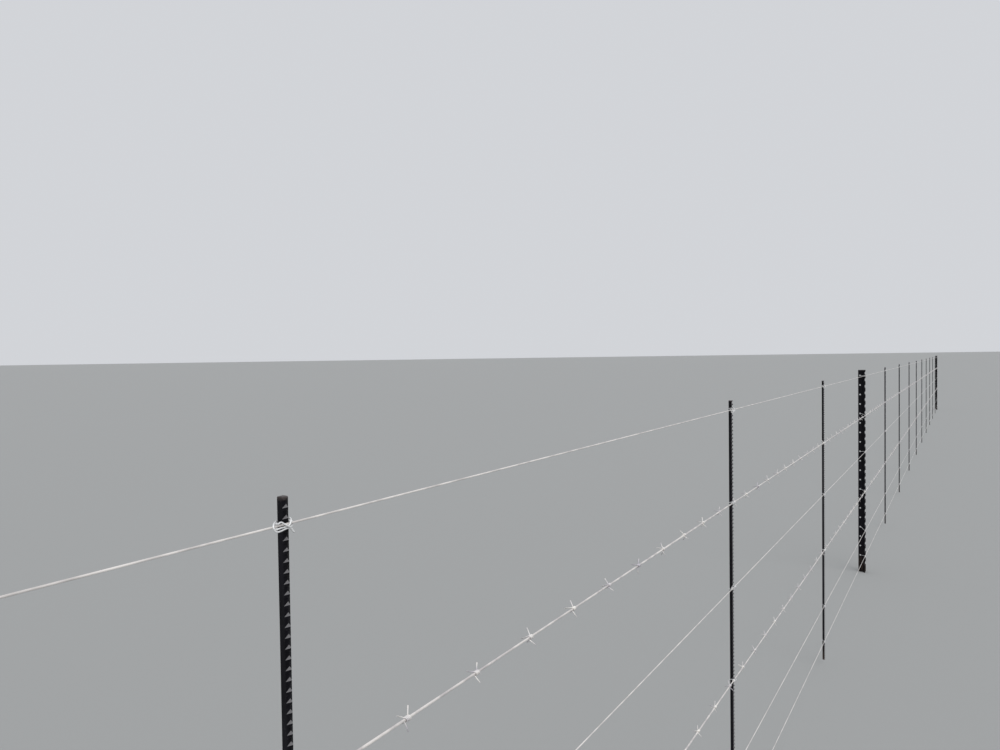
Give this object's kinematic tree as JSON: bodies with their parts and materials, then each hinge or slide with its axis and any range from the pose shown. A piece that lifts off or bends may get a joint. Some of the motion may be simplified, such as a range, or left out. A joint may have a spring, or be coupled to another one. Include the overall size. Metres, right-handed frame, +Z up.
{
  "type": "barbed wire stock fence",
  "caption": "Steel stock fence: taut plain and barbed wires tied to notched Y-section standards, with toothed droppers hung on the wires between them.",
  "frame": {"origin": "ground level in the foot of the middle standard, where its three legs meet", "axes": "+X along the fence towards the picture's far standard, +Y to the side away from the wires, +Z up"},
  "size_m": [33.12, 0.0538, 1.388],
  "materials": {
    "standards": "black bitumen dip, dull, a little worn",
    "droppers": "black bitumen dip, dull with greyish ledges",
    "plain_wire": "galvanised, weathered",
    "barbed_wire": "galvanised, weathered",
    "barbs": "galvanised, weathered",
    "ties": "galvanised binding wire, bright"
  },
  "bodies": {
    "root": {"standard_near_end": "standards", "standard_middle": "standards", "standard_far_end": "standards", "dropper_01": "droppers", "dropper_02": "droppers", "dropper_03": "droppers", "dropper_04": "droppers", "dropper_05": "droppers", "dropper_06": "droppers", "dropper_07": "droppers", "dropper_08": "droppers", "dropper_09": "droppers", "dropper_10": "droppers", "dropper_11": "droppers", "dropper_12": "droppers", "dropper_13": "droppers", "dropper_14": "droppers", "dropper_15": "droppers", "dropper_16": "droppers", "dropper_17": "droppers", "dropper_18": "droppers", "wire_1_plain": "plain_wire", "wire_2_barbed": "barbed_wire", "wire_3_plain": "plain_wire", "wire_4_barbed": "barbed_wire", "wire_5_plain": "plain_wire", "wire_6_plain": "plain_wire", "barbs_on_wire_2": "barbs", "barbs_on_wire_4": "barbs", "ties_on_wire_1": "ties", "ties_on_wire_2": "ties", "ties_on_wire_3": "ties", "ties_on_wire_4": "ties", "ties_on_wire_5": "ties", "ties_on_wire_6": "ties"}
  },
  "joints": []
}
